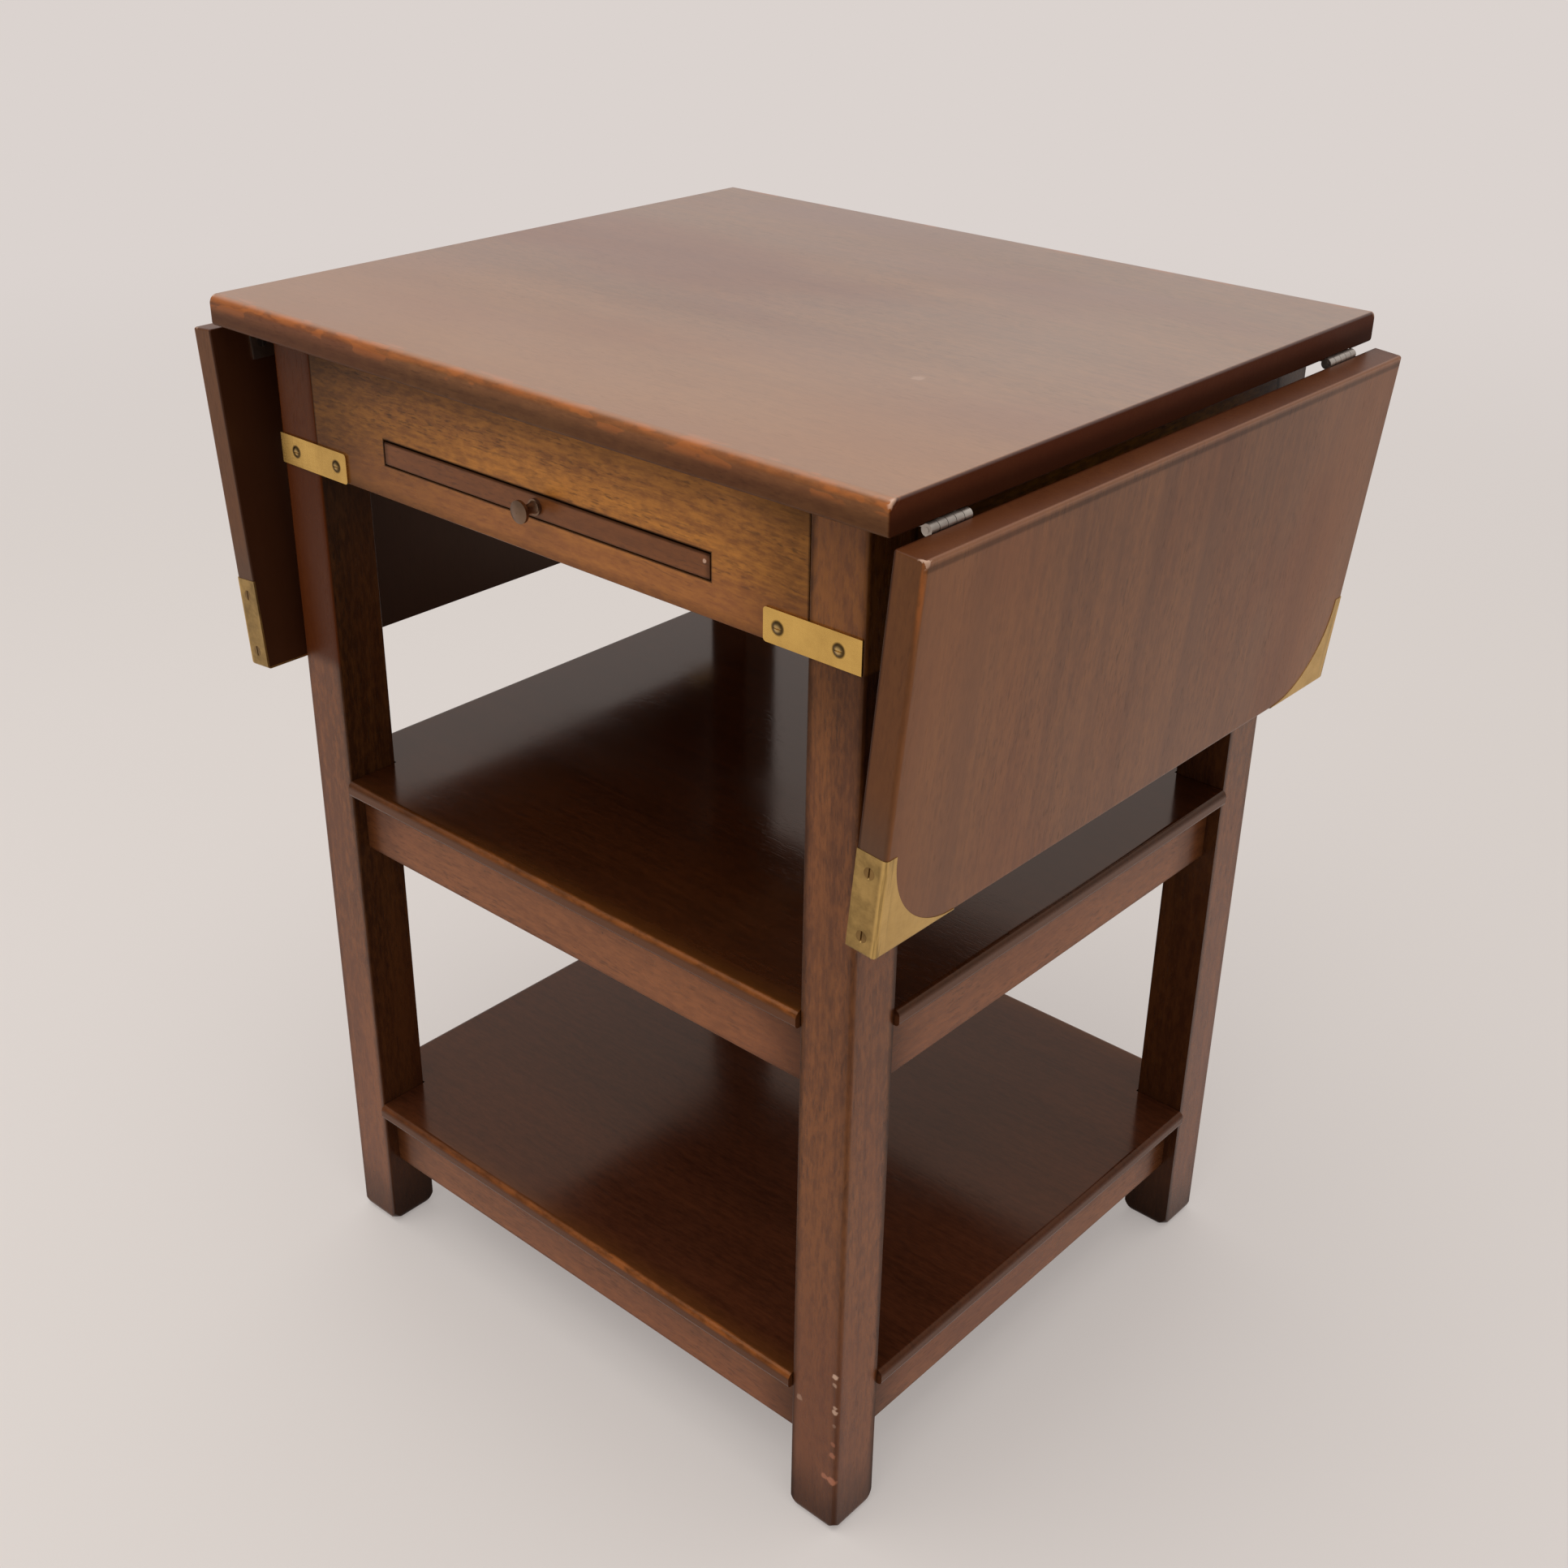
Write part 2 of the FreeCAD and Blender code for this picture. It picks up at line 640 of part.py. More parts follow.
def knob_outline():
    """Half section of the turned knob: spigot below z = 0, base, neck and flat head."""
    head_start = knob_length - knob_head_thickness
    head_side = knob_length - knob_dome
    neck_middle = (knob_base_thickness + head_start) / 2
    neck_end = (knob_neck_radius + knob_base_radius) / 2
    points = [
        (0, -knob_spigot_length), (knob_spigot_radius, -knob_spigot_length), (knob_spigot_radius, 0),
        (knob_base_radius, 0), (knob_base_radius, knob_base_thickness), (neck_end, knob_base_thickness),
    ]
    turned = [Vector(r, 0, z) for r, z in points]
    edges = [Part.makeLine(start, end) for start, end in zip(turned, turned[1:])]
    neck_top = Vector(neck_end, 0, head_start)
    edges.append(Part.Arc(turned[-1], Vector(knob_neck_radius, 0, neck_middle), neck_top).toShape())
    rim_low = Vector(knob_radius, 0, head_start + knob_edge_round)
    rim_high = Vector(knob_radius, 0, head_side)
    edges.append(Part.makeLine(neck_top, rim_low))
    edges.append(Part.makeLine(rim_low, rim_high))
    tip = Vector(0, 0, knob_length)
    crown_radius = (knob_radius ** 2 + knob_dome ** 2) / (2 * knob_dome)
    half_angle = math.asin(knob_radius / crown_radius) / 2
    crown_height = knob_length - crown_radius * (1 - math.cos(half_angle))
    crown = Vector(crown_radius * math.sin(half_angle), 0, crown_height)
    edges.append(Part.Arc(rim_high, crown, tip).toShape())
    edges.append(Part.makeLine(tip, turned[0]))
    return edges


def slide_knob():
    """Turned knob with a spigot that sits in the slide."""
    solid = Part.Face(Part.Wire(knob_outline())).revolve(Vector(0, 0, 0), Vector(0, 0, 1), 360)
    return aimed(solid, knob_place(), Vector(0, -1, 0))


def stop_pin_places():
    """Stop pins: at full travel they stand just behind the front apron."""
    y = -apron_in_y + slide_travel + stop_pin_radius + stop_gap
    x = slide_width / 2 - stop_pin_inset
    return [Vector(-x, y, slide_top - stop_pin_depth), Vector(x, y, slide_top - stop_pin_depth)]


def stop_pin(point, grow):
    """Peg standing out of the slide's upper face; grown, it is the hole for it."""
    length = stop_pin_depth + stop_pin_height
    return Part.makeCylinder(stop_pin_radius + grow, length, point)


def slide_board():
    """Slide board with holes for the knob and the stop pins."""
    board = box(-slide_width / 2, slide_width / 2, -half_y, -half_y + slide_depth, slide_bottom, slide_top)

    def front_edge(b):
        return b.YMax < -half_y + tiny and b.XLength > slide_width / 2

    board = rounded(board, slide_front_arris, front_edge)
    spigot = Part.makeCylinder(knob_spigot_radius + knob_clearance, knob_spigot_length + knob_clearance,
                               knob_place(), Vector(0, 1, 0))
    return board.cut([spigot] + [stop_pin(point, knob_clearance) for point in stop_pin_places()])


def slide_runner():
    """Right runner between front and back apron, with a groove for the slide's edge."""
    in_x = slide_width / 2 + slide_gap_side - runner_groove
    middle = (slide_bottom + slide_top) / 2
    bar = box(in_x, in_x + runner_width, -apron_in_y, apron_in_y,
              middle - runner_height / 2, middle + runner_height / 2)
    return bar.cut(slide_space(-apron_in_y, apron_in_y))


def glue_blocks():
    """Blocks in the angle of top and aprons, two on each apron, as (block, screw place) pairs."""
    bottom = underside - block_size
    pairs = []
    for step in (-1, 1):
        x = step * block_place_front
        front = box(x - block_length / 2, x + block_length / 2, -apron_in_y, -apron_in_y + block_size,
                    bottom, underside)
        pairs.append((front, Vector(x, -apron_in_y + block_size / 2, bottom)))
        y = step * block_place_side
        right = box(apron_in_x - block_size, apron_in_x, y - block_length / 2, y + block_length / 2,
                    bottom, underside)
        pairs.append((right, Vector(apron_in_x - block_size / 2, y, bottom)))
    opposite = [(half_turn(block), Vector(-point.x, -point.y, point.z)) for block, point in pairs]
    return pairs + opposite


def build_frame():
    """Legs, aprons, rails, shelves and straps."""
    strap_places = []
    for side_x, side_y in leg_corners.values():
        strap_places += strap_screw_places(side_x, side_y)
    screws, holes = screws_and_holes(strap_places, strap_screw_length, strap_screw_dome)
    add("strap_screws", screws)
    spaces = mortises()
    for name, (side_x, side_y) in leg_corners.items():
        add("leg_" + name, leg(side_x, side_y).cut(spaces + holes))
        add("corner_strap_" + name, corner_strap(side_x, side_y).cut(holes))
    for name, (bottom, height, face, thickness) in rail_levels().items():
        front = tenoned_rail(2 * leg_in_x, bottom, height, face, thickness)
        right = side_rail(bottom, height, face, thickness)
        back = half_turn(front)
        if name == "apron":
            front = front.cut([slide_space(-half_y, -apron_in_y)] + holes)
            back = back.cut(holes)
            right = right.cut(stay_cuts(-stay_place) + stay_cuts(stay_place))
        add(name + "_front", front)
        add(name + "_back", back)
        add(name + "_right", right)
        add(name + "_left", half_turn(right))
    add("middle_shelf", shelf(middle_shelf_height))
    add("lower_shelf", shelf(lower_shelf_height))


def add_both_sides(name, end, shape):
    """Keep a right-hand piece at one end, and the left-hand one that it is turned to."""
    add(name + "_right_" + end, shape)
    add(name + "_left_" + opposite_end[end], half_turn(shape))


def build_top():
    """Top board, the hinge plates on it, its blocks and screws."""
    right_holes = []
    right_screws = []
    right_pins = []
    for end, place in hinge_places.items():
        screws, holes = screws_and_holes(hinge_screw_places(place, -1), sheet_screw_length)
        plate = half_turn(hinge_plate(0, -place)).cut(holes)
        add_both_sides("hinge_top_plate", end, at_pin(plate))
        pin = rod(hinge_pin_radius, place - hinge_length / 2, place + hinge_length / 2)
        right_pins.append(at_pin(pin))
        right_screws += [at_pin(one) for one in screws]
        right_holes += [at_pin(one) for one in holes + [hinge_relief_space(place)]]
    add("hinge_top_screws", right_screws + [half_turn(one) for one in right_screws])
    add("hinge_pins", right_pins + [half_turn(one) for one in right_pins])
    pairs = glue_blocks()
    block_places = [(point, Vector(0, 0, -1)) for block, point in pairs]
    screws, holes = screws_and_holes(block_places, block_size + block_screw_grip)
    add("top_screws", screws)
    add("glue_blocks", [block.cut(holes) for block, point in pairs])
    add("table_top", table_top().cut(right_holes + [half_turn(one) for one in right_holes] + holes))


def build_leaves():
    """Right leaf with its hinge plates and brackets, and the left one turned from it."""
    cuts = []
    sheet_screws = []
    bracket_screws = []
    for end, way in ends.items():
        place = hinge_places[end]
        screws, holes = screws_and_holes(hinge_screw_places(place, 1), sheet_screw_length)
        add_both_sides("hinge_leaf_plate", end, hang(hinge_plate(1, place).cut(holes)))
        sheet_screws += screws
        cuts += holes + [hinge_relief_space(place)]
        screws, holes = screws_and_holes(stay_screw_places(way * stay_place), sheet_screw_length)
        add_both_sides("stay_bracket", end, hang(stay_bracket(way * stay_place).cut(holes)))
        sheet_screws += screws
        cuts += holes
        screws, holes = screws_and_holes(bracket_screw_places(way), strap_screw_length)
        bracket = corner_bracket(way)
        add_both_sides("leaf_bracket", end, hang(bracket.cut(holes)))
        bracket_screws += screws
        cuts += holes + [bracket]
    groups = {
        "leaf": [leaf_blank().cut(cuts)],
        "leaf_sheet_screws": sheet_screws,
        "leaf_bracket_screws": bracket_screws,
    }
    for name, group in groups.items():
        hung = [hang(one) for one in group]
        add(name + "_right", hung)
        add(name + "_left", [half_turn(one) for one in hung])


def build_stays():
    """Slotted arms and the apron pins that they run over."""
    for end, way in ends.items():
        add_both_sides("stay_arm", end, stay_arm(way * stay_place))
    right_pins = [stay_apron_pin(way * stay_place) for way in ends.values()]
    add("stay_pins", right_pins + [half_turn(one) for one in right_pins])


def build_slide():
    """Slide, its knob and stop pins, and the runners that carry it."""
    add("slide_board", slide_board())
    add("slide_knob", slide_knob())
    add("slide_stop_pins", [stop_pin(point, 0.0) for point in stop_pin_places()])
    add("slide_runner_right", slide_runner())
    add("slide_runner_left", half_turn(slide_runner()))


build_frame()
build_top()
build_leaves()
build_stays()
build_slide()

os.makedirs("parts", exist_ok=True)
for node, shape in parts.items():
    shape.exportStep(os.path.join("parts", node + ".step"))
    print(node, len(shape.Solids), "solids", round(shape.Volume / 1000, 2), "cm3", shape.isValid())
print(len(parts), "nodes")
print("hinge pin", pin_x, pin_z)
print("stay pivot", round(pin_x + stay_pivot_hung.x, 4), round(pin_z + stay_pivot_hung.z, 4))
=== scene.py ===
import functools
import math

import bpy
from mathutils import Euler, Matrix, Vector

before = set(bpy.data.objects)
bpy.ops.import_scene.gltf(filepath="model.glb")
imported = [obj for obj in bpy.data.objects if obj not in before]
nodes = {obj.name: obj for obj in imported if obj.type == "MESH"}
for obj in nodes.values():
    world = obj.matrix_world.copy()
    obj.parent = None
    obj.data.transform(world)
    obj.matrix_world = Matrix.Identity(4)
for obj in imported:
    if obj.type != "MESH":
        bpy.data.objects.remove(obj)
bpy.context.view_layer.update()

# Looks of the drop leaf side table, in metres, in the same frame as the solids:
# origin on the floor below the middle of the top, +X to the right, -Y to the front, +Z up.

# Camera, at the photograph's viewing angle
image_side = 1932
focal_pixels = 2416.3
camera_place = (0.7106, -0.8140, 0.9066)
camera_turn = (62.085, -0.777, 41.585)

# Places and sizes on the table that the wood's shading follows
leaf_hang_turn = 95.3
leg_inside_x = 0.1815
leg_inside_y = 0.1605
apron_bottom = 0.541
slot_middle = 0.5675
slot_half_width = 0.12105
slot_half_height = 0.00725
strap_middle = 0.54975
strap_screws = (0.164, 0.2005)
top_round = 0.005
leaf_round = 0.0025
shelf_round = 0.004
leg_round = 0.0025

# Heights on the legs that the shading follows: redder toward the floor, and painted shade from the hanging
# leaf on the outer side and above its lower edge; and the depth to which a face's own shading reaches
leg_redden = (0.02, 0.4)
leaf_shade = (0.43, 0.5)
leaf_shadow_above = (0.417, 0.427)
face_skin = (0.0003, 0.0015)

# Reaches on the other boards: the ends of the top and the leaves, a leaf's upper edge and the painted shade
# low on its ends, and the rubbed part of the shelves' front and back edges
top_end_skin = (0.0, 0.0008)
leaf_end_skin = (0.0, 0.0015)
leaf_edge_skin = (0.0, 0.001)
leaf_end_shade_reach = (0.11, 0.15)
shelf_rub_reach = (-0.22, 0.05)

# Soft lamp over the front of the table
lamp_place = (-0.1, -1.1, 2.7)
lamp_aim = (0.0, -0.2, 0.3)
lamp_side = 2.8
lamp_power = 42.0

# Floor: its half side, and where and how far it goes over to a plain pale glow: a share of painted light over
# the shadow near the table, the whole background farther out
floor_half_side = 30.0
floor_pale_reach = (0.9, 3.2)
floor_glow_share = (0.42, 1.0)

corners = {"front_left": (-1, -1), "front_right": (1, -1), "back_left": (-1, 1), "back_right": (1, 1)}
leaf_corners = ("left_front", "left_back", "right_front", "right_back")
sides = ("left", "right")
grain_turns = {"x": (0, 0, 0), "y": (0, 0, 90), "z": (0, -90, 0)}
leaf_turns = {"left": (0, leaf_hang_turn, 180), "right": (0, leaf_hang_turn, 0)}


def colour(red, green, blue):
    """Colour for a shader from the usual 0 to 255 values."""
    def linear(value):
        share = value / 255
        return share / 12.92 if share <= 0.04045 else ((share + 0.055) / 1.055) ** 2.4
    return (linear(red), linear(green), linear(blue), 1.0)


# Colours of the mahogany and of what age has done to its polish, of shade and light painted on it, of the
# surroundings and of reflections
top_light = colour(142, 93, 52)
top_dark = colour(104, 62, 32)
top_pale = colour(160, 108, 62)
top_painted_reflection = colour(190, 170, 152)
top_end = colour(72, 28, 10)
leaf_light = colour(136, 84, 44)
leaf_dark = colour(94, 53, 28)
leaf_inner_shade = colour(56, 25, 10)
leaf_warm = colour(152, 94, 48)
leaf_joint_highlight = colour(176, 128, 100)
leaf_end_shade = colour(74, 62, 54)
leaf_edge = colour(78, 33, 12)
red_brown = colour(112, 56, 32)
leg_light = colour(138, 82, 38)
leg_dark = colour(88, 48, 21)
leg_leaf_shadow = colour(92, 41, 10)
apron_light = colour(192, 124, 46)
apron_dark = colour(134, 80, 30)
apron_mottle = colour(146, 88, 34)
rail_light = colour(146, 86, 46)
rail_dark = colour(107, 59, 30)
slide_light = colour(126, 72, 32)
slide_dark = colour(92, 49, 22)
shelf_light = colour(66, 32, 13)
shelf_dark = colour(40, 18, 7)
low_shelf_light = colour(78, 40, 22)
low_shelf_dark = colour(50, 24, 13)
shelf_glow = colour(116, 68, 26)
shelf_edge = colour(84, 47, 25)
dark_polish_and_shade = colour(20, 13, 10)
worn_polish = colour(178, 100, 44)
bare_chip = colour(206, 170, 146)
raw_chip = colour(172, 108, 80)
pale_glow = colour(219, 211, 207)
floor_light = colour(222, 214, 208)
floor_dark = colour(220, 212, 205)
grime_and_shade_brown = colour(58, 40, 20)
room_low = (0.56, 0.54, 0.53, 1.0)
room_high = (0.86, 0.85, 0.84, 1.0)
amber = (1.0, 0.7, 0.52, 1.0)
shelf_warmth = (1.0, 0.53, 0.3, 1.0)

# Chips on the front right leg: height, place across the front face, radius, tone and strength
leg_chips = (
    (0.1193, -0.0138, 0.0024, bare_chip, 0.9),
    (0.1132, -0.0138, 0.0018, bare_chip, 0.5),
    (0.0965, -0.0142, 0.0016, bare_chip, 0.7),
    (0.0933, -0.0140, 0.0022, bare_chip, 0.8),
    (0.0830, -0.0142, 0.0016, bare_chip, 0.25),
    (0.0876, 0.0112, 0.0024, bare_chip, 0.35),
    (0.0687, -0.0138, 0.0020, raw_chip, 0.5),
    (0.0597, -0.0135, 0.0026, raw_chip, 0.7),
    (0.0405, -0.0085, 0.0026, raw_chip, 0.8),
    (0.0400, -0.0135, 0.0038, raw_chip, 0.9),
)


class Graph:
    """Short calls that add nodes to a shader tree."""

    def __init__(self, tree):
        self.tree = tree
        tree.nodes.clear()

    def feed(self, socket, value):
        """Link another socket to this one, or set its value."""
        if isinstance(value, bpy.types.NodeSocket):
            self.tree.links.new(value, socket)
        else:
            socket.default_value = value

    def node(self, kind, inputs=None, **settings):
        """New node with its settings and its inputs."""
        made = self.tree.nodes.new(kind)
        for key, value in settings.items():
            setattr(made, key, value)
        for key, value in (inputs or {}).items():
            self.feed(made.inputs[key], value)
        return made

    def math(self, operation, first, second=0.0, clamp=False):
        made = self.node("ShaderNodeMath", {0: first, 1: second}, operation=operation, use_clamp=clamp)
        return made.outputs[0]

    def vector(self, operation, first, second=(0.0, 0.0, 0.0)):
        return self.node("ShaderNodeVectorMath", {0: first, 1: second}, operation=operation).outputs[0]

    def split(self, vector):
        return self.node("ShaderNodeSeparateXYZ", {0: vector}).outputs

    def noise(self, place, scale, detail=2.0, roughness=0.5):
        """Noise from 0 to 1; three scales stretch it along the axes."""
        stretched = self.vector("MULTIPLY", place, scale)
        made = self.node("ShaderNodeTexNoise", {"Vector": stretched, "Scale": 1.0, "Detail": detail,
                                                "Roughness": roughness})
        return made.outputs["Fac"]

    def step(self, value, low, high, start=0.0, end=1.0):
        """Smooth step of a value between two levels."""
        inputs = {"Value": value, "From Min": low, "From Max": high, "To Min": start, "To Max": end}
        return self.node("ShaderNodeMapRange", inputs, interpolation_type="SMOOTHSTEP").outputs[0]

    def mix(self, share, first, second, blend="MIX"):
        inputs = {0: share, 6: first, 7: second}
        return self.node("ShaderNodeMix", inputs, data_type="RGBA", blend_type=blend).outputs[2]


def new_material(name):
    """Material with an empty tree, its graph and its shader."""
    material = bpy.data.materials.new(name)
    material.use_nodes = True
    graph = Graph(material.node_tree)
    shader = graph.node("ShaderNodeBsdfPrincipled")
    graph.output = graph.node("ShaderNodeOutputMaterial", {"Surface": shader.outputs[0]})
    return material, graph, shader


def grain_group():
    """Mahogany grain along X: soft ribbon figure, fine streaks and short dark pores."""
    tree = bpy.data.node_groups.new("mahogany_grain", "ShaderNodeTree")
    graph = Graph(tree)
    for name, kind in (("Place", "Vector"), ("Light", "Color"), ("Dark", "Color"), ("Figure", "Float"),
                       ("Pores", "Float")):
        tree.interface.new_socket(name, in_out="INPUT", socket_type="NodeSocket" + kind)
    for name, kind in (("Color", "Color"), ("Height", "Float"), ("Pore", "Float")):
        tree.interface.new_socket(name, in_out="OUTPUT", socket_type="NodeSocket" + kind)
    given = graph.node("NodeGroupInput").outputs
    drift = graph.math("SUBTRACT", graph.noise(given["Place"], (3.0, 5.0, 5.0), 1.0), 0.5)
    drift = graph.math("MULTIPLY", drift, 0.016)
    shift = graph.node("ShaderNodeCombineXYZ", {"Y": drift, "Z": drift}).outputs[0]
    place = graph.vector("ADD", given["Place"], shift)
    ribbon = graph.step(graph.noise(place, (1.6, 34.0, 34.0), 2.0), 0.3, 0.7)
    streak = graph.step(graph.noise(place, (4.0, 210.0, 210.0), 3.0), 0.3, 0.7)
    fibre = graph.noise(place, (18.0, 800.0, 800.0), 2.0)
    cloud = graph.step(graph.noise(place, (3.0, 8.0, 8.0), 2.0), 0.3, 0.7)
    mottle = graph.noise(place, (110.0, 340.0, 340.0), 3.0, 0.65)
    tone = graph.math("MULTIPLY", ribbon, 0.2)
    tone = graph.math("ADD", tone, graph.math("MULTIPLY", streak, 0.18))
    tone = graph.math("ADD", tone, graph.math("MULTIPLY", graph.step(fibre, 0.3, 0.7), 0.12))
    tone = graph.math("ADD", tone, graph.math("MULTIPLY", cloud, 0.18))
    tone = graph.math("ADD", tone, graph.math("MULTIPLY", graph.step(mottle, 0.32, 0.68), 0.32))
    centred = graph.math("MULTIPLY", graph.math("SUBTRACT", tone, 0.5), given["Figure"])
    tone = graph.math("ADD", centred, 0.5, clamp=True)
    base = graph.mix(tone, given["Dark"], given["Light"])
    pore = graph.step(graph.noise(place, (150.0, 850.0, 850.0), 2.0), 0.52, 0.72)
    clump = graph.step(graph.noise(place, (12.0, 60.0, 60.0), 1.0), 0.35, 0.65, 0.3, 1.0)
    pore = graph.math("MULTIPLY", graph.math("MULTIPLY", pore, clump), given["Pores"])
    base = graph.mix(pore, base, graph.mix(0.55, base, dark_polish_and_shade))
    height = graph.math("SUBTRACT", graph.math("MULTIPLY", fibre, 0.25), pore)
    graph.node("NodeGroupOutput", {"Color": base, "Height": height, "Pore": pore})
    return tree


def board_box(node, turn):
    """Middle of a node in its mesh's frame, and its half sizes in axes turned by the given angles."""
    rotation = Euler([math.radians(angle) for angle in turn]).to_matrix()
    points = [rotation.transposed() @ vertex.co for vertex in nodes[node].data.vertices]
    low = Vector([min(point[axis] for point in points) for axis in range(3)])
    high = Vector([max(point[axis] for point in points) for axis in range(3)])
    return rotation @ ((low + high) / 2), (high - low) / 2


def board_place(graph, middle, turn):
    """Places on a board, from its middle, in axes turned with it; the board's motion carries them."""
    coordinates = graph.node("ShaderNodeTexCoord").outputs["Object"]
    angles = [math.radians(angle) for angle in turn]
    inputs = {"Vector": coordinates, "Location": middle, "Rotation": angles}
    return graph.node("ShaderNodeMapping", inputs, vector_type="TEXTURE").outputs[0]


grain = grain_group()


class Board:
    """Polished mahogany of one board while it is built up.

    Places on the board are measured from its middle: along the grain, across it and through it.
    """

    count = 0
    dark_share = 0.85
    dulled_share = 0.8

    def __init__(self, node, turn, light, dark, figure=0.8, pores=0.6):
        Board.count += 1
        self.node = node
        self.material, self.graph, self.shader = new_material("wood_" + node)
        graph = self.graph
        self.middle, self.half = board_box(node, turn)
        place = board_place(graph, self.middle, turn)
        self.local = place
        self.along, self.across, self.through = graph.split(place)
        shift = (1.37 * Board.count, 0.91 * Board.count, 0.53 * Board.count)
        self.place = graph.vector("ADD", place, shift)
        given = {"Place": self.place, "Light": light, "Dark": dark, "Figure": figure, "Pores": pores}
        figured = graph.node("ShaderNodeGroup", given, node_tree=grain)
        self.base = figured.outputs["Color"]
        self.height = figured.outputs["Height"]
        self.dullness = graph.math("MULTIPLY", figured.outputs["Pore"], 0.1)
        self.mirror = 0.5
        self.ragged = graph.math("ADD", graph.noise(self.place, (22.0, 50.0, 50.0), 3.0), 0.5)

    def inside(self, place, half):
        """Distance in from the nearer of two opposite faces."""
        return self.graph.math("SUBTRACT", half, self.graph.math("ABSOLUTE", place))

    def under(self, place, half):
        """Distance in from the face on the positive side."""
        return self.graph.math("SUBTRACT", half, place)

    def over(self, place, half):
        """Distance in from the face on the negative side."""
        return self.graph.math("ADD", place, half)

    def near(self, distance, reach):
        """Share that fades out, a little unevenly, over a reach."""
        return self.graph.step(self.graph.math("DIVIDE", distance, self.ragged), 0.0, reach, 1.0, 0.0)

    def on_face(self, distance):
        """Share that is 1 on a face, by the distance in from it, and 0 just inside."""
        return self.graph.step(distance, *face_skin, 1.0, 0.0)

    def tint(self, share, tone, amount):
        """Another tone over a share of the board."""
        self.base = self.graph.mix(self.graph.math("MULTIPLY", share, amount), self.base, tone)

    def darken(self, share, amount):
        """Dark polish and painted shade over a share, as each caller uses it; it also reflects less."""
        graph = self.graph
        self.tint(share, graph.mix(self.dark_share, self.base, dark_polish_and_shade), amount)
        self.dull(share, self.dulled_share * amount)

    def dull(self, share, amount):
        """Polish that reflects less over a share of the board."""
        graph = self.graph
        kept = graph.math("SUBTRACT", 1.0, graph.math("MULTIPLY", share, amount))
        self.mirror = graph.math("MULTIPLY", self.mirror, kept)

    def spot(self, point, radius, tone, amount):
        """One small mark at a place on the board."""
        graph = self.graph
        between = {0: self.local, 1: point}
        gap = graph.node("ShaderNodeVectorMath", between, operation="DISTANCE").outputs["Value"]
        gap = graph.math("MULTIPLY", gap, graph.math("ADD", graph.noise(self.place, (450, 450, 450)), 0.5))
        self.tint(graph.step(gap, 0.6 * radius, radius, 1.0, 0.0), tone, amount)

    def patches(self, scale, tone, amount):
        """Large soft patches of another tone."""
        share = self.graph.step(self.graph.noise(self.place, scale, 2.0), 0.4, 0.68)
        self.tint(share, tone, amount)

    def wear(self, distance, radius, amount, tone=worn_polish):
        """Polish rubbed thin along a rounded arris; the distance is the sum from its two faces."""
        graph = self.graph
        rub = graph.step(graph.noise(self.place, (60.0, 150.0, 150.0), 4.0, 0.65), 0.36, 0.62, 0.2, 1.0)
        ragged = graph.math("MULTIPLY", distance, graph.math("ADD", self.ragged, 0.15))
        share = graph.step(ragged, 0.7 * radius, 1.25 * radius, 1.0, 0.0)
        share = graph.math("MULTIPLY", share, rub)
        self.tint(share, tone, amount)
        self.dullness = graph.math("ADD", self.dullness, graph.math("MULTIPLY", share, 0.08))

    def specks(self, amount):
        """Small dark spots spattered over the polish."""
        graph = self.graph
        cells = graph.node("ShaderNodeTexVoronoi", {"Vector": self.place, "Scale": 60.0})
        dot = graph.step(cells.outputs["Distance"], 0.02, 0.05, 1.0, 0.0)
        chosen = graph.math("GREATER_THAN", graph.split(cells.outputs["Color"])[0], 0.7)
        self.tint(graph.math("MULTIPLY", dot, chosen), dark_polish_and_shade, amount)

    def chips(self, distance, reach, scale, level, tone, amount):
        """Small bare chips close to an arris or a corner."""
        graph = self.graph
        close = graph.step(distance, 0.6 * reach, reach, 1.0, 0.0)
        bits = graph.step(graph.noise(self.place, scale, 2.0), level, level + 0.05)
        self.tint(graph.math("MULTIPLY", close, bits), tone, amount)

    def finish(self, roughness, coat=0.0, coat_roughness=0.34, ior=1.48, warmth=amber):
        """Feed the shader and put the material on the board."""
        graph, shader = self.graph, self.shader
        graph.feed(shader.inputs["Base Color"], self.base)
        smear = graph.step(graph.noise(self.place, (6.0, 11.0, 11.0), 3.0), 0.3, 0.7, -0.03, 0.04)
        gloss = graph.math("ADD", graph.math("ADD", smear, roughness), self.dullness)
        graph.feed(shader.inputs["Roughness"], gloss)
        graph.feed(shader.inputs["Coat Weight"], coat)
        shader.inputs["IOR"].default_value = ior
        graph.feed(shader.inputs["Specular IOR Level"], self.mirror)
        shader.inputs["Specular Tint"].default_value = warmth
        shader.inputs["Coat IOR"].default_value = 1.74
        shader.inputs["Coat Roughness"].default_value = coat_roughness
        inputs = {"Height": self.height, "Strength": 0.15, "Distance": 0.0002}
        graph.feed(shader.inputs["Normal"], graph.node("ShaderNodeBump", inputs).outputs[0])
        give(self.material, [self.node])


def give(material, names):
    """Put one material on several nodes."""
    for name in names:
        nodes[name].data.materials.clear()
        nodes[name].data.materials.append(material)


